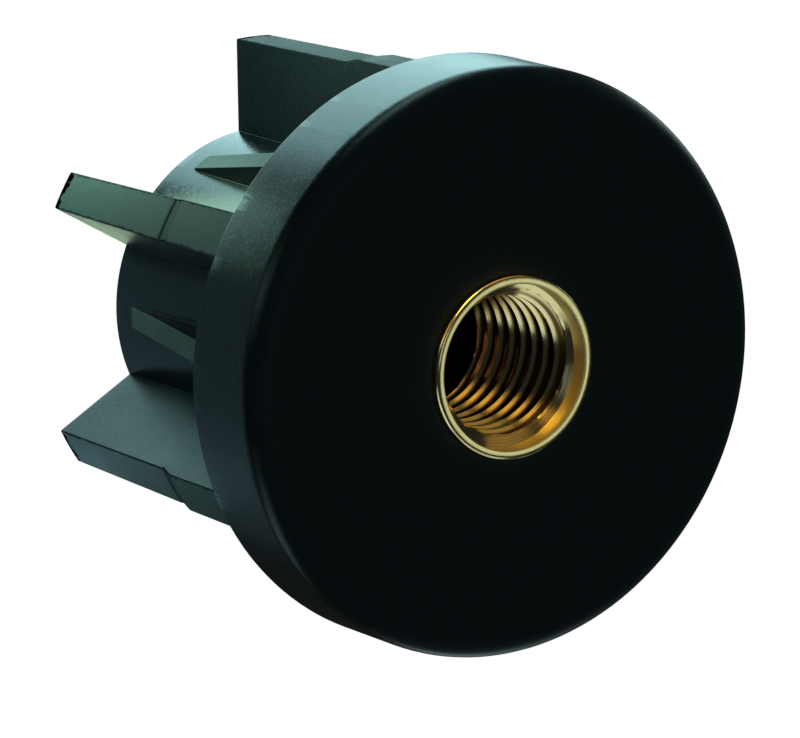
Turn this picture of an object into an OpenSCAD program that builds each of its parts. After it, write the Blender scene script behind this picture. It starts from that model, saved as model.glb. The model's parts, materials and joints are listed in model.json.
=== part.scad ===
// Threaded insert end cap for a round tube.
// A moulded cap closes the end of the tube, and a brass insert in its middle takes a levelling
// foot or a caster stem.
// +Z runs along the tube's axis and out of the cap's face. The origin is on that axis, in the
// plane where the head sits on the end of the tube.

/* [Tube] */
// Inner diameter of the tube that the cap closes
tube_bore_d = 56.3; // [52:0.1:57.5]

/* [Head] */
// Diameter of the head, the same as the tube's outside
head_d = 60; // [58.5:0.5:70]
// Thickness of the head, from its seat to its face
head_h = 11.5; // [9:0.5:16]
// Radius that rounds the edge of the face
head_edge_r = 2.4; // [0.6:0.2:4]

/* [Plug] */
// How far the hub and the fins reach into the tube
plug_len = 36; // [30:0.5:50]
// Outer diameter of the hub
hub_d = 34.8; // [31:0.2:39]
// Chamfer round the rear mouth of the hub's bore
mouth_chamfer = 1; // [0.4:0.1:2]

/* [Fins] */
// Number of fins round the hub
fin_count = 6; // [4:1:8]
// Thickness of a fin at its rear end
fin_rear_t = 4.1; // [2.4:0.1:5]
// Thickness of a fin where it meets the head
fin_seat_t = 5; // [3:0.1:6]
// Length of the land next to the head that grips the tube
land_len = 12.4; // [6:0.2:20]
// Gap between the tube and the start of the land
land_gap = 0.05; // [0:0.05:0.3]
// How much the land grips the tube at the head, on the radius
land_grip = 0.15; // [0:0.05:0.4]
// Length of the ramp that leads up to the land
ramp_len = 1.9; // [0.6:0.1:3]
// Gap between the tube and a fin just behind the ramp
fin_front_gap = 0.55; // [0.3:0.05:1.5]
// Gap between the tube and a fin at its rear end
fin_rear_gap = 1.05; // [0.8:0.05:3]

/* [Gussets] */
// Distance from the rear end of the hub to the start of a gusset
gusset_start = 3.8; // [1:0.2:12]
// Height of the step where a gusset starts
gusset_rear_h = 0.3; // [0.1:0.1:1]
// Height of a gusset above the hub where it meets the head
gusset_h = 6.8; // [3:0.2:7.4]
// Thickness of a gusset at its start
gusset_rear_t = 2.2; // [1.4:0.1:3.5]
// Thickness of a gusset where it meets the head
gusset_seat_t = 2.8; // [1.8:0.1:4]

/* [Thread] */
// Nominal diameter of the thread
thread_d = 16; // [12:1:18]
// Pitch of the thread
thread_pitch = 2; // [1:0.25:2.5]
// Chamfer where the thread ends inside the cap
thread_end_chamfer = 0.8; // [0.4:0.1:1.2]

/* [Insert] */
// Whole length of the brass insert
insert_len = 18; // [15:0.5:26]
// How far the insert's ring stands proud of the face
insert_proud = 0.9; // [0.2:0.1:1.5]
// Width of the ring round the mouth of the thread
ring_w = 0.85; // [0.6:0.05:2]
// Chamfer on the outer edge of the ring
ring_chamfer = 0.25; // [0.1:0.05:0.4]
// Depth of the plain recess in front of the thread
recess_depth = 2; // [1:0.1:3.5]
// How much wider the recess is than the thread
recess_clearance = 0.9; // [0.4:0.1:2]
// Length of the cone that leads a stud from the recess into the thread
lead_in_len = 0.7; // [0.4:0.1:1.6]
// Depth of the insert's plain collar in the head
collar_depth = 3; // [1.5:0.1:5]
// How far the knurled bands stand out from the collar
knurl_step = 1.7; // [1:0.1:2.2]
// Depth of the knurl's grooves
knurl_depth = 0.5; // [0.3:0.05:0.9]
// Number of ridges round a knurled band
knurl_count = 24; // [16:1:32]
// Width of the groove between the two knurled bands
lock_groove_w = 3; // [1.5:0.1:4]
// Depth of that groove, below the knurl's grooves
lock_groove_depth = 0.7; // [0.3:0.1:1]

/* [Stem bore] */
// How much wider the bore behind the insert is than the thread
stem_clearance = 1.5; // [0.5:0.1:2.5]

/* [Hidden] */
$fn = 96;

// How far one solid runs into or past another, so that they fuse or cut cleanly
lap = 1;

head_r = head_d / 2;
hub_r = hub_d / 2;
tube_r = tube_bore_d / 2;

// Minor diameter of a metric thread, which is the wall that a stud's crests pass
thread_minor_r = (thread_d - 1.0825 * thread_pitch) / 2;
recess_r = (thread_d + recess_clearance) / 2;
collar_r = recess_r + ring_w;
knurl_r = collar_r + knurl_step;
lock_groove_r = knurl_r - knurl_depth - lock_groove_depth;
stem_bore_r = (thread_d + stem_clearance) / 2;

ring_z = head_h + insert_proud;
insert_end_z = ring_z - insert_len;
collar_end_z = head_h - collar_depth;
band_len = (collar_end_z - insert_end_z - lock_groove_w) / 2;

// A point of a fin's outer edge: its gap to the tube, at a height below the seat
function edge_point(gap, z) = [tube_r - gap, z];

function fin_side() = [
    [hub_r - lap, -plug_len],
    edge_point(fin_rear_gap, -plug_len),
    edge_point(fin_front_gap, -land_len - ramp_len),
    edge_point(land_gap, -land_len),
    edge_point(-land_grip, 0),
    edge_point(-land_grip, lap),
    [hub_r - lap, lap]
];

function gusset_side() = [
    [hub_r - lap, gusset_start - plug_len],
    [hub_r + gusset_rear_h, gusset_start - plug_len],
    [hub_r + gusset_h, 0],
    [hub_r + gusset_h, lap],
    [hub_r - lap, lap]
];

// A plate that stands on the hub along +X: its side outline is cut to the taper that lets the
// moulding leave its tool.
module blade(side, rear_t, seat_t) {
    intersection() {
        rotate([90, 0, 0])
            linear_extrude(height = 2 * seat_t, center = true)
                polygon(side);
        rotate([90, 0, 90])
            linear_extrude(height = head_r)
                polygon([
                    [-rear_t / 2, -plug_len],
                    [rear_t / 2, -plug_len],
                    [seat_t / 2, 0],
                    [seat_t / 2, lap],
                    [-seat_t / 2, lap],
                    [-seat_t / 2, 0]
                ]);
    }
}

module around_hub(first_angle) {
    for (i = [0 : fin_count - 1])
        rotate(first_angle + i * 360 / fin_count) children();
}

module head() {
    rotate_extrude() {
        square([head_r - head_edge_r, head_h]);
        square([head_r, head_h - head_edge_r]);
        translate([head_r - head_edge_r, head_h - head_edge_r]) circle(head_edge_r);
    }
}

// One knurled band, from z up: a disc with a V groove between each pair of ridges
module knurled_band(z, height) {
    step = 360 / knurl_count;
    translate([0, 0, z])
        linear_extrude(height = height)
            polygon([
                for (i = [0 : knurl_count - 1], part = [0, 1])
                    let (r = knurl_r - part * knurl_depth, a = (i + part / 2) * step)
                        [r * cos(a), r * sin(a)]
            ]);
}

// The outside of the insert, which is also the pocket that the cap is moulded round. The core
// between the bands and the collar above them each end halfway through a band.
module insert_outside() {
    rotate_extrude()
        polygon([
            [0, insert_end_z + band_len / 2],
            [lock_groove_r, insert_end_z + band_len / 2],
            [lock_groove_r, collar_end_z - band_len / 2],
            [collar_r, collar_end_z - band_len / 2],
            [collar_r, ring_z - ring_chamfer],
            [collar_r - ring_chamfer, ring_z],
            [0, ring_z]
        ]);
    knurled_band(insert_end_z, band_len);
    knurled_band(collar_end_z - band_len, band_len);
}

// The recess, the lead-in, the thread's minor diameter and the chamfer at its far end
module insert_inside() {
    end_r = thread_minor_r + thread_end_chamfer;
    rotate_extrude()
        polygon([
            [0, insert_end_z - lap],
            [end_r, insert_end_z - lap],
            [end_r, insert_end_z],
            [thread_minor_r, insert_end_z + thread_end_chamfer],
            [thread_minor_r, ring_z - recess_depth - lead_in_len],
            [recess_r, ring_z - recess_depth],
            [recess_r, ring_z + lap],
            [0, ring_z + lap]
        ]);
}

module stem_bore() {
    rotate_extrude()
        polygon([
            [0, -plug_len - lap],
            [stem_bore_r + mouth_chamfer + lap, -plug_len - lap],
            [stem_bore_r, -plug_len + mouth_chamfer],
            [stem_bore_r, insert_end_z + lap],
            [0, insert_end_z + lap]
        ]);
}

// The moulded cap, in one piece: head, hub, fins and gussets
module cap_body() {
    color([0.05, 0.08, 0.08])
        difference() {
            union() {
                head();
                translate([0, 0, -plug_len]) cylinder(r = hub_r, h = plug_len + lap);
                around_hub(0) blade(fin_side(), fin_rear_t, fin_seat_t);
                around_hub(180 / fin_count) blade(gusset_side(), gusset_rear_t, gusset_seat_t);
            }
            insert_outside();
            stem_bore();
        }
}

// The brass insert that the cap is moulded round
module threaded_insert() {
    color([0.78, 0.66, 0.36])
        difference() {
            insert_outside();
            insert_inside();
        }
}

cap_body();
threaded_insert();
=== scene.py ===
# %% [markdown]
# # Threaded insert end cap
# This cap closes the end of a round tube. It is one black moulding of glass-filled nylon, made
# round a brass insert that has an M16 thread. The packed CAD model fixes its sizes and its place.
# This file dresses it: it builds a finer mesh for each of the two pieces, gives each a finish made
# of shader nodes, and sets up a floor, lights and a camera.

# %% Load the packed model
import json
import math

import bpy
import numpy as np
from mathutils import Matrix, Vector


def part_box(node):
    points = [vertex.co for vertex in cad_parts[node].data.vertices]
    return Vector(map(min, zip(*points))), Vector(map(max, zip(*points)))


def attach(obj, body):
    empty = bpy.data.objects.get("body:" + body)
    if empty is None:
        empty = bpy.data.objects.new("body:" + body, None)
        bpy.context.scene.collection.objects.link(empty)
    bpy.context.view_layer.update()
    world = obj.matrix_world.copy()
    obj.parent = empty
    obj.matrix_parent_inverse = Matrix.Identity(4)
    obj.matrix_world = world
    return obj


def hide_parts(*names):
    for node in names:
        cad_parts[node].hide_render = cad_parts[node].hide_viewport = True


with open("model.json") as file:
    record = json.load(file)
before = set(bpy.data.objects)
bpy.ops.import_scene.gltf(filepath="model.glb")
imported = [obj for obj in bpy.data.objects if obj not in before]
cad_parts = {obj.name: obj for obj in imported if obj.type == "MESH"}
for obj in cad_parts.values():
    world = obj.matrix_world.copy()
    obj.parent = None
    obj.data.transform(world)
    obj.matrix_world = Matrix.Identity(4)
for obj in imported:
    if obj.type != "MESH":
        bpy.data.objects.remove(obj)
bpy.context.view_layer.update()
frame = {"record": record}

# %% [markdown]
# ## Sizes
# The sizes that the packed model already knows are read from it, so that the two can't drift
# apart. They come from the box of each piece, and from the record's mounts, which state the two
# bores. The rest are the pieces' own sizes in millimetres, as the CAD source names them.
# Blender works in metres, so one value turns millimetres into metres when a mesh is made.

# %% Sizes from the frame
MM = 0.001
cap_low, cap_high = (np.array(corner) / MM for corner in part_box("cap_body"))
insert_low, insert_high = (np.array(corner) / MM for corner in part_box("threaded_insert"))
head_r, face_z, plug_end_z = cap_high[0], cap_high[2], cap_low[2]
knurl_r, ring_z, insert_end_z = insert_high[0], insert_high[2], insert_low[2]
mounts = {mount["name"]: mount for mount in frame["record"]["mounts"]}
thread_minor_r = mounts["thread"]["dims"]["r_mm"]
stem_bore_r = mounts["stem_bore"]["dims"]["r_mm"]
print(f"head radius {head_r:.2f}, face {face_z:.2f}, plug end {plug_end_z:.2f}, ring {ring_z:.2f} mm")

# %% Sizes of the moulding, in millimetres
tube_r = 56.3 / 2
hub_r = 34.8 / 2
head_edge_r = 2.4
mouth_chamfer = 1
fin_count = 6
fin_rear_t, fin_seat_t = 4.1, 5
gusset_rear_t, gusset_seat_t = 2.2, 2.8
gusset_rear_h, gusset_seat_h = 0.3, 6.8
gusset_start_z = plug_end_z + 3.8
land_z = -12.4
ramp_z = land_z - 1.9
fin_rear_gap, fin_front_gap, land_gap, land_grip = 1.05, 0.55, 0.05, 0.15
print(f"fins reach {tube_r - fin_rear_gap:.2f} mm at the rear and {tube_r + land_grip:.2f} at the seat")

# %% Sizes of the insert, in millimetres
pitch = 2
end_chamfer = 0.8
recess_r, recess_z = 8.45, ring_z - 2
collar_r, collar_end_z = 9.3, face_z - 3
knurl_count, knurl_depth = 24, 0.5
lock_groove_w, lock_groove_depth = 3, 0.7
lead_in_z = insert_end_z + end_chamfer + mounts["thread"]["dims"]["length_mm"]
print(f"thread from {insert_end_z:.2f} to {lead_in_z:.2f} mm, recess from {recess_z:.2f} mm")

# %% [markdown]
# ## One outline for the whole plug
# The plug is a hub with six fins and six low gussets between them. It could be made by joining
# solids and bevelling the result, but bevels go wrong where a tapered fin meets a round hub.
# Instead, the cross-section is one closed outline that changes slowly with height, and the mesh is
# the skin between such outlines. A moulding has a small radius in every inner corner, where the
# steel of its tool is rounded, and the outline gives it those radii as true arcs.
#
# Half a blade is drawn from the middle of its tip, round its corner, down its flat side and
# through the root radius to the hub. A gusset is the same shape with other numbers.

# %% Half a blade, as points in polar form
TIP_STEPS, CORNER_STEPS, SIDE_STEPS, ROOT_STEPS, HUB_STEPS = 3, 4, 8, 6, 7
FIN_CORNER, FIN_ROOT = 0.15, 0.06
GUSSET_CORNER, GUSSET_ROOT = 0.08, 0.05


def blade_half(base_r, tip_r, half_t, corner_r, root_r):
    """(angle, radius) of points on half a blade, whose middle lies at angle 0."""
    corner_x = math.sqrt((tip_r - corner_r) ** 2 - (half_t - corner_r) ** 2)
    corner_angle = math.atan2(half_t - corner_r, corner_x)
    root_x = math.sqrt((base_r + root_r) ** 2 - (half_t + root_r) ** 2)
    root_angle = math.atan2(half_t + root_r, root_x)
    points = []
    for k in range(TIP_STEPS):
        angle = corner_angle * k / TIP_STEPS
        points.append((tip_r * math.cos(angle), tip_r * math.sin(angle)))
    for k in range(CORNER_STEPS):
        turn = corner_angle + (math.pi / 2 - corner_angle) * k / CORNER_STEPS
        points.append((corner_x + corner_r * math.cos(turn),
                       half_t - corner_r + corner_r * math.sin(turn)))
    for k in range(SIDE_STEPS):
        points.append((corner_x + (root_x - corner_x) * k / SIDE_STEPS, half_t))
    for k in range(ROOT_STEPS + 1):
        turn = -math.pi / 2 - (math.pi / 2 - root_angle) * k / ROOT_STEPS
        points.append((root_x + root_r * math.cos(turn), half_t + root_r + root_r * math.sin(turn)))
    return [(math.atan2(y, x), math.hypot(x, y)) for x, y in points]


print(len(blade_half(hub_r, tube_r, fin_seat_t / 2, FIN_CORNER, FIN_ROOT)), "points in half a blade")

# %% [markdown]
# ## The outline at a height
# Both blades taper, so that the moulding leaves its tool. A fin also has a step: a ramp leads up
# to a land that grips the tube, and a thin groove runs under the ramp. The fin's radii are a short
# table against heights, and a height between two of them gets a radius in between. A gusset starts
# so low that its two small radii have no room, so there they shrink with its height.

# %% Tables of heights, and the whole outline at one height
STEP_GROOVE = 0.12
ROOM_PER_RADIUS = 2.6
fin_heights = [plug_end_z, ramp_z - 0.4, ramp_z - 0.1, ramp_z + 0.1, land_z, 0]
fin_radii = [tube_r - fin_rear_gap, tube_r - fin_front_gap, tube_r - fin_front_gap - STEP_GROOVE,
             tube_r - fin_front_gap, tube_r - land_gap, tube_r + land_grip]


def outline(z, grow=0, with_gussets=True):
    """(x, y) of points all round the plug at height z, moved outwards by grow."""
    # Both shares are 0 where a blade starts and 1 at the seat
    up = (z - plug_end_z) / -plug_end_z
    along = max(0, (z - gusset_start_z) / -gusset_start_z)
    fin_t = fin_rear_t + (fin_seat_t - fin_rear_t) * up
    # A fin's tip moves in with the rounded rear edge, but not out with the fillet at the seat
    fin_tip = float(np.interp(z, fin_heights, fin_radii)) + min(grow, 0)
    fin = blade_half(hub_r + grow, fin_tip, fin_t / 2 + grow, FIN_CORNER, FIN_ROOT)
    gusset_t = gusset_rear_t + (gusset_seat_t - gusset_rear_t) * along
    gusset_h = gusset_rear_h + (gusset_seat_h - gusset_rear_h) * along
    room = gusset_h / ROOM_PER_RADIUS
    gusset = blade_half(hub_r + grow, hub_r + gusset_h + grow, gusset_t / 2 + grow,
                        min(GUSSET_CORNER, room), min(GUSSET_ROOT, room))
    if not with_gussets:
        gusset = [(angle, hub_r + grow) for angle, _ in gusset]
    middle = math.pi / fin_count
    gusset = [(middle - angle, radius) for angle, radius in reversed(gusset)]
    gap = [fin[-1][0] + (gusset[0][0] - fin[-1][0]) * k / HUB_STEPS for k in range(1, HUB_STEPS)]
    half = fin + [(angle, hub_r + grow) for angle in gap] + gusset
    mirrored = [(2 * middle - angle, radius) for angle, radius in reversed(half[1:-1])]
    sector = np.array(half + mirrored)
    turns = [sector + [k * 2 * middle, 0] for k in range(fin_count)]
    angles, radii = np.concatenate(turns).T
    return np.stack([radii * np.cos(angles), radii * np.sin(angles)], axis=1)


just_below_seat = outline(-1)
plug_angles = np.unwrap(np.arctan2(just_below_seat[:, 1], just_below_seat[:, 0]))
print("the plug is", f"{just_below_seat[:, 0].max():.2f}", "mm in radius just below its seat")

# %% [markdown]
# ## The moulding as a closed skin
# The skin is a list of rings, all with the same number of points, and each ring is joined to the
# next by four-sided faces. It starts at the plug's rear end, climbs the outside of the plug,
# turns out under the head, goes up the rim and over the face, and comes back down through the
# pocket of the insert and the bore. The last ring is joined to the first, so the skin is closed.
# Rings stand close together where a surface bends, as at a small radius or at the fins' step.

# %% What a ring is
rings = []


def ring_of_plug(z, grow=0, with_gussets=True):
    """Adds the plug's outline at that height."""
    xy = outline(z, grow, with_gussets)
    rings.append(np.column_stack([xy, np.full(len(xy), z)]))


def ring_of_circle(radius, z):
    """Adds a circle, whose points lie at the same angles as the plug's."""
    circle = radius * np.stack([np.cos(plug_angles), np.sin(plug_angles)], axis=1)
    rings.append(np.column_stack([circle, np.full(len(circle), z)]))


def quarter_turn(count):
    """Angles, evenly spaced, for the rings of a rounded edge."""
    return np.linspace(0, math.pi / 2, count)


print("a ring has", len(plug_angles), "points")

# %% Rings of the plug
REAR_EDGE, SEAT_FILLET = 0.25, 0.4
SMALL_EDGE_RINGS = 5
for turn in quarter_turn(SMALL_EDGE_RINGS):
    rise = REAR_EDGE * (1 - math.cos(turn))
    ring_of_plug(plug_end_z + rise, -REAR_EDGE * (1 - math.sin(turn)), False)
for z in (plug_end_z + 1.5, gusset_start_z - 0.02):
    ring_of_plug(z, 0, False)
# Four spans: up to the step, across the ramp's foot, across the land's start, and up to the fillet
plug_heights = np.concatenate([
    np.linspace(gusset_start_z + 0.05, ramp_z - 0.5, 12),
    ramp_z + np.array([-0.35, -0.2, -0.1, 0, 0.1, 0.2]),
    land_z + np.array([-0.4, -0.1, 0, 0.1, 0.3]),
    np.linspace(land_z + 1, -SEAT_FILLET, 8),
])
for z in plug_heights:
    ring_of_plug(z)
for turn in quarter_turn(SMALL_EDGE_RINGS)[1:]:
    ring_of_plug(-SEAT_FILLET * (1 - math.sin(turn)), SEAT_FILLET * (1 - math.cos(turn)))
print(len(rings), "rings up to the seat")

# %% Rings of the head
RIM_EDGE, RIM_RINGS, HEAD_EDGE_RINGS = 0.2, 6, 13
for turn in quarter_turn(SMALL_EDGE_RINGS):
    ring_of_circle(head_r - RIM_EDGE * (1 - math.sin(turn)), RIM_EDGE * (1 - math.cos(turn)))
for z in np.linspace(RIM_EDGE, face_z - head_edge_r, RIM_RINGS)[1:-1]:
    ring_of_circle(head_r, z)
for turn in quarter_turn(HEAD_EDGE_RINGS):
    ring_of_circle(head_r - head_edge_r * (1 - math.cos(turn)),
                   face_z - head_edge_r * (1 - math.sin(turn)))
print(len(rings), "rings up to the face")

# %% Rings of the face, the pocket and the bore
POCKET_EDGE, POCKET_EDGE_RINGS = 0.15, 4
FACE_RINGS, BORE_RINGS = 9, 8
for radius in np.linspace(head_r - head_edge_r, collar_r + POCKET_EDGE, FACE_RINGS)[1:]:
    ring_of_circle(radius, face_z)
for turn in quarter_turn(POCKET_EDGE_RINGS)[1:]:
    ring_of_circle(collar_r + POCKET_EDGE * (1 - math.sin(turn)),
                   face_z - POCKET_EDGE * (1 - math.cos(turn)))
for radius, z in ((collar_r, collar_end_z), (knurl_r, collar_end_z), (knurl_r, insert_end_z),
                  (stem_bore_r, insert_end_z)):
    ring_of_circle(radius, z)
for z in np.linspace(insert_end_z, plug_end_z + mouth_chamfer, BORE_RINGS)[1:]:
    ring_of_circle(stem_bore_r, z)
ring_of_circle(stem_bore_r + mouth_chamfer, plug_end_z)
print(len(rings), "rings in all,", len(rings) * len(plug_angles), "points")

# %% [markdown]
# ## From rings to an object
# One helper makes the mesh, and the insert uses it again later. Smooth shading blends the faces,
# but not across an edge that is sharper than the given angle. A Weighted Normal modifier then
# lets the large flat faces set the shading, so that the small radii don't darken them.

# %% Mesh helpers
SHARP_ANGLE = math.radians(38)


def skin_faces(ring_count, ring_size):
    """Faces of a skin whose rings are closed, and whose last ring meets the first."""
    index = np.arange(ring_count * ring_size).reshape(ring_count, ring_size)
    above, beside = np.roll(index, -1, axis=0), np.roll(index, -1, axis=1)
    corner = np.roll(above, -1, axis=1)
    return np.stack([index, beside, corner, above], axis=-1).reshape(-1, 4)


def make_piece(name, points_mm, faces):
    """A mesh object of the part, which rides on its body and has soft shading."""
    mesh = bpy.data.meshes.new(name)
    mesh.from_pydata((np.asarray(points_mm) * MM).tolist(), [], [list(face) for face in faces])
    mesh.validate()
    mesh.shade_smooth()
    mesh.set_sharp_from_angle(angle=SHARP_ANGLE)
    piece = bpy.data.objects.new(name, mesh)
    bpy.context.scene.collection.objects.link(piece)
    weights = piece.modifiers.new("even_shading", "WEIGHTED_NORMAL")
    weights.keep_sharp = True
    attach(piece, "root")
    print(name, "has", len(mesh.polygons), "faces")
    return piece


# %% The moulding as an object
cap_moulding = make_piece("cap_moulding", np.concatenate(rings),
                          skin_faces(len(rings), len(plug_angles)))
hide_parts("cap_body")

# %% [markdown]
# ## The thread
# A thread is a groove that climbs one pitch in each turn. Its mesh is a grid whose rows follow
# the groove, so that the crests and roots are clean lines and not stairs. Along each row the
# radius follows the ISO profile by its place in the pitch: a flat crest, a flank at 30 degrees to
# the radius, and a flat root an eighth of the pitch wide. The full profile has a crest a quarter
# of the pitch wide. This thread is a little shallow, so its crest takes a third. Where the lead-in
# cone or the chamfer at the far end is wider than the thread, the wider one wins, as it does when a
# tool cuts it. Rows that would leave the bore are gathered at its ends.

# %% Shape of the bore of the insert
CREST, ROOT = 0.34, 1 / 8
FLANK_ANGLE = math.radians(30)
thread_major_r = thread_minor_r + pitch * (1 - CREST - ROOT) / 2 / math.tan(FLANK_ANGLE)
profile_places = np.array([0, CREST / 2, 0.5 - ROOT / 2, 0.5 + ROOT / 2, 1 - CREST / 2, 1])
profile_radii = np.array([0, 0, 1, 1, 0, 0]) * (thread_major_r - thread_minor_r) + thread_minor_r


def bore_radius(z, angle):
    """Radius of the threaded bore, for arrays of heights and angles."""
    place = np.mod(z / pitch - angle / (2 * math.pi), 1)
    thread = np.interp(place, profile_places, profile_radii)
    lead_in = np.interp(z, [lead_in_z, recess_z], [thread_minor_r, recess_r])
    far_end = thread_minor_r + end_chamfer - (z - insert_end_z)
    return np.maximum(thread, np.maximum(lead_in, far_end))


print(f"thread radius {thread_minor_r:.2f} to {thread_major_r:.2f} mm")

# %% Grid of the thread
AROUND = 240
HALF_CREST_STEPS, FLANK_STEPS, THREAD_ROOT_STEPS = 3, 7, 4
spans = [
    (0, CREST / 2, HALF_CREST_STEPS),
    (CREST / 2, 0.5 - ROOT / 2, FLANK_STEPS),
    (0.5 - ROOT / 2, 0.5 + ROOT / 2, THREAD_ROOT_STEPS),
    (0.5 + ROOT / 2, 1 - CREST / 2, FLANK_STEPS),
    (1 - CREST / 2, 1, HALF_CREST_STEPS),
]
row_places = np.concatenate([
    np.linspace(start, end, steps, endpoint=False) for start, end, steps in spans])
turns = range(math.floor(insert_end_z / pitch) - 2, math.ceil(recess_z / pitch) + 1)
row_z = pitch * np.concatenate([turn + row_places for turn in turns])
around = np.linspace(0, 2 * math.pi, AROUND, endpoint=False)
grid_z = np.clip(row_z[:, None] + pitch * around / (2 * math.pi), insert_end_z, recess_z)
grid_r = bore_radius(grid_z, around)
print(grid_z.shape, "points in the thread's grid")

# %% [markdown]
# ## The outside of the insert
# Outside the bore, the insert is turned from a bar: a ring stands proud of the cap's face, a
# plain collar runs through the head, and two knurled bands hold it in the plastic, with a groove
# between them. The ring's outer edge is rolled over into a short slope and laps a little over the
# plastic, and it is that slope which catches the light round the ring. Those are plain rings of
# points again, and a knurl is a radius that goes up and down as it goes round.

# %% Sizes of the ring and the knurl, in millimetres
MOUTH_EDGE = 0.06
RING_LIP, LIP_GAP = 0.12, 0.01
RING_SLOPE_W, RING_SLOPE_H = 0.22, 0.5
RING_ROLL_W, RING_ROLL_H = 0.09, 0.07
RECESS_BAND = 0.6
lip_r = collar_r + RING_LIP
flat_r = lip_r - RING_SLOPE_W
band_len = (collar_end_z - insert_end_z - lock_groove_w) / 2
wave = np.abs(np.mod(around * knurl_count / (2 * math.pi) + 0.5, 1) - 0.5) * 2
knurl = knurl_r - knurl_depth * wave
groove_r = knurl_r - knurl_depth - lock_groove_depth
print(f"the ring's flat ends at radius {flat_r:.2f} mm, and its lip at {lip_r:.2f} mm")

# %% Rings of the insert, from the recess over the top and down the outside
insert_rings = [
    (recess_r, recess_z + RECESS_BAND),
    (recess_r, ring_z - RECESS_BAND),
    (recess_r, ring_z - MOUTH_EDGE),
    (recess_r + 0.3 * MOUTH_EDGE, ring_z - 0.3 * MOUTH_EDGE),
    (recess_r + MOUTH_EDGE, ring_z),
    (flat_r, ring_z),
    (flat_r + RING_ROLL_W, ring_z - RING_ROLL_H),
    (lip_r, ring_z - RING_SLOPE_H),
    (lip_r, face_z + LIP_GAP),
    (collar_r, face_z + LIP_GAP),
    (collar_r, collar_end_z),
    (knurl, collar_end_z),
    (knurl, collar_end_z - band_len),
    (groove_r, collar_end_z - band_len),
    (groove_r, insert_end_z + band_len),
    (knurl, insert_end_z + band_len),
    (knurl, insert_end_z),
]
outside_r = np.array([np.broadcast_to(radius, AROUND) for radius, _ in insert_rings])
outside_z = np.array([np.full(AROUND, z) for _, z in insert_rings])
print(len(insert_rings), "rings outside the thread")

# %% [markdown]
# ## Joining the thread to the outside
# The thread's rows and the rings outside it are one grid, so the same idea makes their faces: each
# point is joined to its neighbours round the part and in the next row. A row of the thread has
# climbed one pitch when it comes round, so its last point is joined to the row that starts there.
# Many rows meet at the ends of the bore, and welding takes out the faces with no area there.

# %% Faces of the insert
all_r = np.concatenate([grid_r, outside_r])
all_z = np.concatenate([grid_z, outside_z])
insert_points = np.stack([all_r * np.cos(around), all_r * np.sin(around), all_z], axis=-1)
index = np.arange(all_r.size).reshape(all_r.shape)
next_column = np.roll(index, -1, axis=1)
rows, per_turn = len(row_z), len(row_places)
climbed = np.minimum(np.arange(rows) + per_turn, rows - 1)
next_column[:rows, -1] = index[climbed, 0]
above, above_next = np.roll(index, -1, axis=0), np.roll(next_column, -1, axis=0)
insert_faces = np.stack([index, next_column, above_next, above], axis=-1).reshape(-1, 4)


def welded(points, faces, snap=1e-4):
    """Points and faces with the points that coincide joined, and the empty faces left out."""
    keys = np.round(points.reshape(-1, 3) / snap).astype(np.int64)
    _, first, same = np.unique(keys, axis=0, return_index=True, return_inverse=True)
    kept = []
    for face in same.reshape(-1)[faces]:
        corners = [c for k, c in enumerate(face) if c != face[k - 1]]
        if len(corners) > 2 and len(set(corners)) == len(corners):
            kept.append(corners)
    return points.reshape(-1, 3)[first], kept


print(len(insert_faces), "faces before welding")

# %% The insert as an object
brass_insert = make_piece("brass_insert", *welded(insert_points, insert_faces))
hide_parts("threaded_insert")

# %% [markdown]
# ## Writing shader maths as expressions
# A finish is a graph of shader nodes. Wiring it by hand takes many lines, so two small classes do
# it. A Wire is one output of a node, and maths on wires adds Math nodes: `1 - mask` is a Subtract
# node. A Finish is one material, and its `add` makes any other node: its type, its settings, and
# the values or wires that go into its sockets.

# %% A wire, with arithmetic
class Wire:
    """An output of a shader node, with arithmetic."""

    def __init__(self, finish, socket):
        self.finish, self.socket = finish, socket

    def math(self, operation, *values):
        """A Math node that works on those values."""
        return self.finish.add("ShaderNodeMath", {"operation": operation}, dict(enumerate(values)))

    def __add__(self, other):
        return self.math("ADD", self, other)

    def __sub__(self, other):
        return self.math("SUBTRACT", self, other)

    def __rsub__(self, other):
        return self.math("SUBTRACT", other, self)

    def __mul__(self, other):
        return self.math("MULTIPLY", self, other)

    def __truediv__(self, other):
        return self.math("DIVIDE", self, other)

    def __pow__(self, other):
        return self.math("POWER", self, other)

    def __abs__(self):
        return self.math("ABSOLUTE", self)

    __radd__ = __add__

    def rise(self, start, end):
        """0 up to start, 1 from end, and a soft slope between them."""
        return self.finish.add("ShaderNodeMapRange", {"interpolation_type": "SMOOTHSTEP"},
                               {"Value": self, "From Min": start, "From Max": end})

    def near(self, value, width):
        """1 at a value, and 0 where it is further off than the width."""
        return 1 - abs(self - value).rise(0, width)


print("a wire can do maths:", [name for name in vars(Wire) if name[:2] != "__"])

# %% A finish, which makes nodes
BUMP_STRENGTH = 0.5
# Places of the colour sockets among those of a Mix node
MIX_FACTOR, MIX_FIRST, MIX_SECOND, MIX_RESULT = 0, 6, 7, 2


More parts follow.
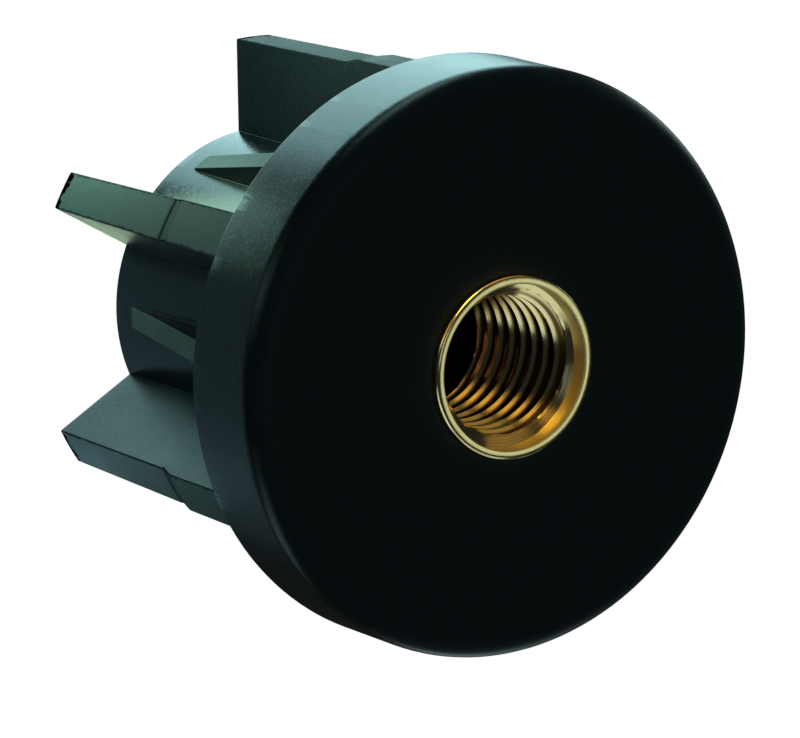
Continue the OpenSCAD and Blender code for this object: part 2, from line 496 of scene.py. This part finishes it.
class Finish:
    """A material that is built from nodes."""

    def __init__(self, name):
        self.material = bpy.data.materials.new(name)
        self.material.use_nodes = True
        self.tree = self.material.node_tree
        self.tree.nodes.clear()

    def add(self, kind, settings=None, sockets=None, output=0):
        """A node of that kind. Its settings come first, and then its sockets' values or wires."""
        node = self.tree.nodes.new(kind)
        for name, value in (settings or {}).items():
            setattr(node, name, value)
        for name, value in (sockets or {}).items():
            if isinstance(value, Wire):
                self.tree.links.new(value.socket, node.inputs[name])
            else:
                node.inputs[name].default_value = value
        return Wire(self, node.outputs[output])

    def blend(self, factor, first, second):
        """A colour that goes from the first to the second."""
        sockets = {MIX_FACTOR: factor, MIX_FIRST: first, MIX_SECOND: second}
        return self.add("ShaderNodeMix", {"data_type": "RGBA"}, sockets, MIX_RESULT)

    def noise(self, place, scale, detail, roughness):
        """Values round a half that wander over the place. A larger scale makes finer patches."""
        return self.add("ShaderNodeTexNoise", None, {
            "Vector": place, "Scale": scale, "Detail": detail, "Roughness": roughness})

    def bump(self, height, depth_mm):
        """A normal that seems to rise and fall by the height, up to that depth."""
        return self.add("ShaderNodeBump", None, {
            "Height": height, "Distance": depth_mm * MM, "Strength": BUMP_STRENGTH})

    def shader(self, sockets):
        """A Principled shader."""
        return self.add("ShaderNodeBsdfPrincipled", None, sockets)

    def mix(self, mask, first, second):
        """A shader that is the first where the mask is 0, and the second where it is 1."""
        return self.add("ShaderNodeMixShader", None, {0: mask, 1: first, 2: second})

    def wear(self, piece, shader):
        """Ends the material in that shader, and puts it on the piece."""
        end = self.tree.nodes.new("ShaderNodeOutputMaterial")
        self.tree.links.new(shader.socket, end.inputs["Surface"])
        piece.data.materials.append(self.material)
        print(self.material.name, "has", len(self.tree.nodes), "nodes")


def place_in_mm(finish):
    """The place on the part in mm, as a vector, and as x, y, z and distance from the axis."""
    place = finish.add("ShaderNodeTexCoord", output="Object")
    scaled = finish.add("ShaderNodeVectorMath", {"operation": "SCALE"}, {0: place, "Scale": 1 / MM})
    split = finish.add("ShaderNodeSeparateXYZ", None, {0: scaled}).socket.node
    x, y, z = (Wire(finish, split.outputs[axis]) for axis in "XYZ")
    return scaled, x, y, z, (x * x + y * y) ** 0.5


# %% [markdown]
# ## The moulded plastic
# Glass-filled nylon is nearly black here, with a cold green cast. Short glass fibres lie just under
# its skin and show as fine pale specks. Its gloss differs from place to place, as the finish of the
# steel does that it was moulded in. The rim and the hub are smooth, as from a turned and polished
# tool, and mirror a light as a band. The fins and gussets are dull, as from slots that were
# spark-eroded. The face is duller still, and a more even black. One material holds them all: each
# is a shader of its own, and masks made from the height, the distance from the axis and the way
# that the surface faces mix one shader into the next.

# %% Coordinates and masks of the plastic
plastic = Finish("moulded_plastic")
place, x, y, z, radius = place_in_mm(plastic)
on_head = z.rise(-SEAT_FILLET, 0)
on_face = z.rise(face_z - 1.6, face_z - 0.1)
specks = plastic.noise(place, scale=3.2, detail=3, roughness=0.65).rise(0.52, 0.68)
clouds = plastic.noise(place, scale=0.22, detail=3, roughness=0.6)
fine_grain = plastic.noise(place, scale=7, detail=2, roughness=0.6)
print("places and noises of the plastic made")

# %% Smooth rim and hub
DEEP, COOL, SPECK = (0.002, 0.005, 0.006, 1), (0.005, 0.011, 0.011, 1), (0.02, 0.05, 0.045, 1)
side_colour = plastic.blend(clouds.rise(0.3, 0.7), DEEP, COOL)
side_colour = plastic.blend(specks * 0.55, side_colour, SPECK)
side_bump = plastic.bump(specks * 0.6 + fine_grain, 0.02)
smooth = plastic.shader({
    "Base Color": side_colour, "Roughness": 0.15 + clouds * 0.08 + on_head * 0.1,
    "Normal": side_bump, "Specular Tint": (0.72, 1, 0.97, 1)})
print("smooth shader made")

# %% [markdown]
# ## Paler outer edges of the fins
# The outer edges of the fins and gussets are a paler grey-green. Part of it is wear, as if they had
# been rubbed along a tube, and part is painted light that brightens them as light falling on them
# would. The dot product of the surface's normal with the way out from the axis finds those edges:
# it is near 1 on an outer edge and on the hub, and 0 on a side.

# %% Duller fins and gussets, with outer edges paler from wear and painted light
# Paler grey-green of the outer edges: partly wear, partly painted light
PALE_WEAR_AND_LIGHT = (0.13, 0.19, 0.16, 1)
outward = plastic.add("ShaderNodeCombineXYZ", None, {"X": x / radius, "Y": y / radius})
normal = plastic.add("ShaderNodeTexCoord", output="Normal")
facing_out = plastic.add("ShaderNodeVectorMath", {"operation": "DOT_PRODUCT"},
                         {0: outward, 1: normal}, output="Value").rise(0.6, 0.9)
on_hub = facing_out * (1 - radius.rise(hub_r + 0.1, hub_r + 0.3))
on_blades = (1 - on_hub) * (1 - on_head)
# Partly wear and partly painted light: the outer faces of the blades turn paler, most where they face
# straight out
wear_and_painted_light = facing_out * (0.45 + clouds * 0.8)
dull = plastic.shader({
    "Base Color": plastic.blend(wear_and_painted_light, side_colour, PALE_WEAR_AND_LIGHT),
    "Roughness": 0.38 + clouds * 0.14 - specks * 0.06 + wear_and_painted_light * 0.2,
    "Normal": side_bump, "Specular IOR Level": 0.2, "Specular Tint": (0.5, 1, 0.95, 1)})
print("dull shader made")

# %% [markdown]
# ## Painted shade on the fins
# At its rear end, along its corners and in the groove at its step, the outer edge of a fin gets a
# thin dark line of painted shade, and its ramp gets half as much. It is a matt black shader that
# reflects nothing, and noise makes its mask ragged. The corners are found from how far a point lies
# from the middle of its fin: the angle is counted in fins, its nearest whole number is taken off,
# and what is left becomes a length across the fin.

# %% Masks of the painted shade on the fins
ragged = plastic.noise(place, scale=1.3, detail=2, roughness=0.7)
# Painted shade: ragged dark lines at the fins' rear ends and corners, a line in the groove at the step,
# and half as much over the ramp
rear_end_shade = 1 - (z - (ragged - 0.2) * 2.8).rise(plug_end_z, plug_end_z + 0.15)
step_groove_shade = z.near(ramp_z, 0.25)
on_ramp = z.rise(ramp_z - 0.2, ramp_z + 0.1) * (1 - z.rise(land_z - 0.2, land_z + 0.3))
sector = y.math("ARCTAN2", y, x) * (fin_count / (2 * math.pi))
across = abs(sector - sector.math("ROUND", sector)) * radius * (2 * math.pi / fin_count)
fin_half_t = (z - plug_end_z) * ((fin_seat_t - fin_rear_t) / 2 / -plug_end_z) + fin_rear_t / 2
corner_shade = (across - fin_half_t + ragged * 0.75).rise(0.08, 0.25)
on_fin_tip = radius.rise(tube_r - 1.8, tube_r - 1.5)
painted_shade_lines = rear_end_shade + step_groove_shade + corner_shade * 0.6 + on_ramp * 0.5
painted_shade_mask = painted_shade_lines * facing_out * on_fin_tip
print("masks of the torn edges made")

# %% Painted shade on the fins, and the fins on the smooth hub
# A matt black that reflects nothing, which paints the shade on the fins' edges, groove and ramp
painted_shade = plastic.shader({
    "Base Color": (0.002, 0.004, 0.004, 1), "Roughness": 0.9, "Specular IOR Level": 0.0})
blades = plastic.mix(painted_shade_mask.math("MINIMUM", painted_shade_mask, 1), dull, painted_shade)
sides = plastic.mix(on_blades, smooth, blades)
print("shader of the sides made")

# %% [markdown]
# ## The face
# ## The face
# The face takes light from the whole room, so a trace of gloss would turn it grey. It gets a high
# roughness and a low specular level, and a fine grain. One faint turned circle marks it. Its colour
# is painted several times lighter than the same nylon on the sides: painted light for a dim face.

# %% The face, duller still
FACE_CIRCLE_R = 13.6
# Painted light: the face's colour is several times lighter than the nylon of the sides
lightened_face_colour = plastic.blend(fine_grain, (0.017, 0.029, 0.033, 1), (0.023, 0.041, 0.046, 1))
face_circle = radius.near(FACE_CIRCLE_R, 0.25)
face = plastic.shader({
    "Base Color": lightened_face_colour, "Roughness": 0.56 + clouds * 0.1,
    "Normal": plastic.bump(fine_grain + face_circle * 0.5, 0.015), "Specular IOR Level": 0.16})
plastic.wear(cap_moulding, plastic.mix(on_face, sides, face))

# %% [markdown]
# ## The turned brass
# An insert like this is cut on a lathe, so fine rings run round every surface of it. They are a
# noise that is stretched along the turn: it changes quickly with the distance from the axis and
# with the height, and not at all round the axis. The roots of the thread and the deeper part of its
# flanks are painted dark brown, as painted shade for hollows that light hardly reaches, and its
# crests keep the bright brass. The recess is the dullest of the bright surfaces, as if it was
# bored with a coarser feed.

# %% Brass
# The third colour is painted shade for the roots of the thread
FRESH, AGED, ROOT_SHADE = (0.80, 0.72, 0.42, 1), (0.74, 0.62, 0.30, 1), (0.06, 0.03, 0.01, 1)
RINGS_PER_MM = 9
brass = Finish("brass")
place, _, _, z, radius = place_in_mm(brass)
turned = brass.add("ShaderNodeCombineXYZ", None, {"X": radius * RINGS_PER_MM, "Y": z * RINGS_PER_MM})
marks = brass.noise(turned, scale=1, detail=3, roughness=0.7)
tarnish = brass.noise(place, scale=0.5, detail=3, roughness=0.6)
in_thread = 1 - z.rise(lead_in_z, lead_in_z + 0.3)
# Painted shade: the roots and deeper flanks of the thread turn dark brown, and a little rougher
in_root = radius.rise(thread_minor_r + 0.22, thread_minor_r + 0.5) * in_thread
in_recess = radius.near(recess_r, 0.12) * z.rise(recess_z, recess_z + 0.1)
brass_colour = brass.blend(tarnish.rise(0.35, 0.75), FRESH, AGED)
brass.wear(brass_insert, brass.shader({
    "Base Color": brass.blend(in_root * 0.95, brass_colour, ROOT_SHADE), "Metallic": 1.0,
    "Roughness": 0.08 + marks * 0.08 + in_root * 0.12 + in_recess * 0.4,
    "Normal": brass.bump(marks, 0.02)}))

# %% [markdown]
# ## Floor
# The part stands on the flush rear ends of its hub and fins, face up, on a plain white floor. The
# floor glows a little, as a light table does, so that it stays white behind black plastic. It
# takes no part in reflections and shadows, because light has to reach the sides from below it.

# %% Floor
FLOOR_HALF, FLOOR_DROP = 4, 0.00002


def flat_piece(name, corners, drop):
    """A flat piece of the scene, a little below the rear end of the part. Lengths are in metres."""
    mesh = bpy.data.meshes.new(name)
    mesh.from_pydata([(x, y, 0) for x, y in corners], [], [range(len(corners))])
    piece = bpy.data.objects.new(name, mesh)
    piece.location.z = plug_end_z * MM - drop
    bpy.context.scene.collection.objects.link(piece)
    return piece


square = [(-1, -1), (1, -1), (1, 1), (-1, 1)]
floor = flat_piece("floor", [(x * FLOOR_HALF, y * FLOOR_HALF) for x, y in square], FLOOR_DROP)
floor.visible_glossy = floor.visible_diffuse = floor.visible_shadow = False
floor_finish = Finish("pale_floor")
floor_finish.wear(floor, floor_finish.shader({
    "Base Color": (0.86, 0.87, 0.87, 1), "Roughness": 0.8, "Specular IOR Level": 0.2,
    "Emission Color": (1, 1, 1, 1), "Emission Strength": 1.0}))

# %% [markdown]
# ## The dark end of the bore
# A floor would be black under the bore, in the shade of the part. This floor lets light through,
# so a black card that the camera doesn't see closes the bore's end and keeps the thread dark.

# %% A dark card under the bore
CARD_POINTS, CARD_MARGIN, CARD_DROP = 48, 0.6, 0.00001
card_r = stem_bore_r + mouth_chamfer + CARD_MARGIN
circle = np.linspace(0, 2 * math.pi, CARD_POINTS, endpoint=False)
card_corners = [(card_r * MM * math.cos(a), card_r * MM * math.sin(a)) for a in circle]
bore_card = flat_piece("bore_card", card_corners, CARD_DROP)
bore_card.visible_camera = False
card_finish = Finish("black_card")
card_finish.wear(bore_card, card_finish.shader({
    "Base Color": (0.003, 0.003, 0.003, 1), "Roughness": 0.9, "Specular IOR Level": 0.0}))

# %% [markdown]
# ## Camera
# The camera looks down on the face from in front and is far away, with a long lens, so that the
# lines of the part stay nearly parallel. It is turned about its own axis, so that the part seems
# to lie on its side with the plug at the left.

# %% Camera
CAMERA_TARGET = Vector((4.675, -0.314, -2.187)) * MM
CAMERA_DISTANCE, LENS_MM, SENSOR_MM = 0.70603, 315, 36
CAMERA_AZIMUTH, CAMERA_ELEVATION, CAMERA_ROLL = (math.radians(a) for a in (-51.70, 55.17, -107.16))


def direction(azimuth, elevation):
    """The unit vector with that azimuth and elevation, in radians."""
    level = math.cos(elevation)
    return Vector((level * math.cos(azimuth), level * math.sin(azimuth), math.sin(elevation)))


back = direction(CAMERA_AZIMUTH, CAMERA_ELEVATION)
level_right = Vector((0, 0, 1)).cross(back).normalized()
level_up = back.cross(level_right)
camera_up = math.cos(CAMERA_ROLL) * level_up + math.sin(CAMERA_ROLL) * level_right
camera_right = camera_up.cross(back)
camera = bpy.data.objects.new("camera", bpy.data.cameras.new("camera"))
camera.data.lens, camera.data.sensor_width = LENS_MM, SENSOR_MM
turn = Matrix((camera_right, camera_up, back)).transposed()
camera.matrix_world = Matrix.LocRotScale(CAMERA_TARGET + back * CAMERA_DISTANCE, turn, None)
bpy.context.scene.collection.objects.link(camera)
bpy.context.scene.camera = camera
print("right", camera_right, "up", camera_up, "back", back)

# %% [markdown]
# ## Light
# The light is what makes black plastic readable: it is seen only where it mirrors something
# bright. Each light is a soft panel that faces the part. A panel is placed by the way to it as
# the camera sees the part: to the right, up, and towards the camera. Its power is worked out from
# its radiance, so that a panel can change its size and still look as bright in a reflection.

# %% Panels of light
PANEL_DISTANCE = 0.5


def panel(name, way, size, radiance, colour, distance=PANEL_DISTANCE, aim=(0, 0, 0), spread=180):
    """A soft panel that the camera doesn't see, with its size and distance in metres.

    Its way is (right, up, towards the camera), and it aims at a place on the part in millimetres.
    """
    light = bpy.data.lights.new(name, "AREA")
    light.shape, light.color = "RECTANGLE", colour
    light.size, light.size_y = size
    # A narrow spread gathers the power, so the panel needs less of it for the same radiance
    half_spread = math.radians(spread) / 2
    light.spread = 2 * half_spread
    gathered = 1 - half_spread / math.tan(half_spread)
    light.energy = radiance * math.pi * size[0] * size[1] * gathered
    lamp = bpy.data.objects.new(name, light)
    to_light = (camera_right * way[0] + camera_up * way[1] + back * way[2]).normalized()
    across = camera_up.cross(to_light).normalized()
    facing = Matrix((across, to_light.cross(across), to_light)).transposed()
    middle = Vector(aim) * MM + to_light * distance
    lamp.matrix_world = Matrix.LocRotScale(middle, facing, None)
    lamp.visible_camera = False
    bpy.context.scene.collection.objects.link(lamp)
    print(f"{name}: {light.energy:.2f} W at {distance} m")
    return lamp


# %% [markdown]
# ## Key, fill and cards
# A side wall of the part mirrors what lies below the floor, so the key light stands behind and
# below and draws the bright band over the rim. Four small cards stand a few centimetres from the
# plug, as white cards do in a studio: each lights one edge or one patch and nothing else. A narrow
# spread keeps the card for the hub off the fin beside it.

# %% Key, fill and cards
panel("key", way=(-0.25, 0.64, -0.73), size=(0.41, 0.34), radiance=3.1, colour=(0.58, 0.97, 1))
panel("left_fill", way=(-0.84, -0.15, -0.52), size=(0.4, 0.42), radiance=0.2, colour=(0.5, 0.85, 1))
panel("left_tip_card", way=(-0.72, 0.6, -0.33), size=(0.022, 0.02), radiance=3.4,
      colour=(0.58, 1, 0.88), distance=0.03, aim=(13.5, -23.4, -26))
panel("hub_card", way=(-0.68, 0.6, -0.42), size=(0.012, 0.012), radiance=6,
      colour=(0.63, 1, 0.74), distance=0.025, aim=(5.4, -16.5, -19), spread=80)
panel("tip_card", way=(-0.55, -0.4, -0.72), size=(0.014, 0.014), radiance=2.2,
      colour=(0.45, 0.82, 1), distance=0.025, aim=(27, 0, -28))
panel("glint_card", way=(-0.064, -0.15, -0.987), size=(0.014, 0.014), radiance=6,
      colour=(0.7, 1, 0.7), distance=0.05, aim=(11.5, -20, -35))

# %% [markdown]
# ## Light from above and all round
# One panel stands over the face. Five low panels round the part are for whoever walks round it:
# they light each side as it is seen from near the floor. They are placed by the part's own
# directions, so one helper turns such a direction into the way that a panel takes.

# %% Panels above and all round
LOW_ELEVATION = -13
LOW_PANELS = ((308, 0.7), (236, 2), (164, 1.6), (92, 1.6), (20, 0.9))


def way_to(azimuth, elevation):
    """The way to a direction of the part, in degrees, as the camera sees it."""
    there = direction(math.radians(azimuth), math.radians(elevation))
    return tuple(Matrix((camera_right, camera_up, back)) @ there)


overhead, underneath = way_to(0, 90), way_to(0, -90)
panel("overhead", overhead, size=(0.12, 0.12), radiance=0.8, colour=(0.9, 1, 1))
for azimuth, radiance in LOW_PANELS:
    panel(f"low_{azimuth}", way_to(azimuth, LOW_ELEVATION), (0.4, 0.12), radiance, (0.75, 1, 0.98))

# %% [markdown]
# ## Light for one piece
# Brass mirrors far more than black plastic does, and a panel that suits one spoils the other.
# Cycles can link a lamp to a collection of receivers. So the warm panels, which put the amber into
# the thread, and the pale ones, which light the ring and the upper crests, shine on the insert
# alone, and one panel over the top shines on the moulding alone.

# %% Panels that light only one of the pieces
pieces = {}
for piece in (cap_moulding, brass_insert):
    pieces[piece.name] = bpy.data.collections.new(piece.name + "_only")
    pieces[piece.name].objects.link(piece)


def light_only(piece, lamps):
    for lamp in lamps:
        lamp.light_linking.receiver_collection = pieces[piece.name]


top_fill = panel("top_fill", overhead, size=(0.12, 0.12), radiance=2.4, colour=(0.8, 1, 1))
light_only(cap_moulding, [top_fill])

# %% The insert's own panels
SILVER, AMBER = (0.92, 1, 0.9), (1, 0.5, 0.1)
# Name, way, size, radiance and colour of each panel that stands at the usual distance
INSERT_PANELS = [
    ("table_glow", (0.3, -0.82, 0.3), (0.5, 0.35), 0.8, SILVER),
    ("low_glow", (-0.45, -0.78, 0.42), (0.5, 0.36), 0.8, (0.9, 1, 0.9)),
    ("warm_spot", (0.42, 0.36, 0.83), (0.13, 0.18), 0.85, (1, 0.56, 0.1)),
    ("warm_low", (0.74, 0.52, 0.42), (0.3, 0.2), 0.3, (1, 0.6, 0.15)),
    ("warm_edge", (0.3, 0.93, 0.08), (0.35, 0.25), 1.2, AMBER),
    ("warm_glint", (-0.58, 0.42, 0.70), (0.3, 0.25), 0.7, AMBER),
    ("mouth_light", (0.92, -0.2, 0.3), (0.25, 0.25), 0.72, (0.9, 1, 0.8)),
]
lamps = [panel(*values) for values in INSERT_PANELS]
lamps.append(panel("bore_glow", underneath, size=(0.012, 0.012), radiance=1.2,
                   colour=(1, 0.4, 0.15), distance=0.02, aim=(0, 0, -8)))
lamps.append(panel("warm_recess", way=(-0.1, 0.75, 0.65), size=(0.03, 0.03), radiance=7,
                   colour=(1, 0.62, 0.12), distance=0.06, aim=(0, 0, 12)))
light_only(brass_insert, lamps)

# %% [markdown]
# ## Surroundings
# The world is dim for the light that it gives, so that the face stays black, and white where the
# camera sees it, so that the floor has no horizon.

# %% Dim surroundings, white to the camera
DIM_STRENGTH = 0.02
world = bpy.data.worlds.new("studio")
world.use_nodes = True
dim = world.node_tree.nodes["Background"]
dim.inputs["Color"].default_value = (0.93, 0.95, 0.96, 1)
dim.inputs["Strength"].default_value = DIM_STRENGTH
pale = world.node_tree.nodes.new("ShaderNodeBackground")
pale.inputs["Color"].default_value = (1, 1, 1, 1)
seen = world.node_tree.nodes.new("ShaderNodeLightPath")
backdrop = world.node_tree.nodes.new("ShaderNodeMixShader")
output = world.node_tree.nodes["World Output"]
for socket, target in ((seen.outputs["Is Camera Ray"], backdrop.inputs[0]),
                       (dim.outputs[0], backdrop.inputs[1]), (pale.outputs[0], backdrop.inputs[2]),
                       (backdrop.outputs[0], output.inputs["Surface"])):
    world.node_tree.links.new(socket, target)
bpy.context.scene.world = world
bpy.context.scene.view_settings.view_transform = "Standard"
print("surroundings made")

# %% [markdown]
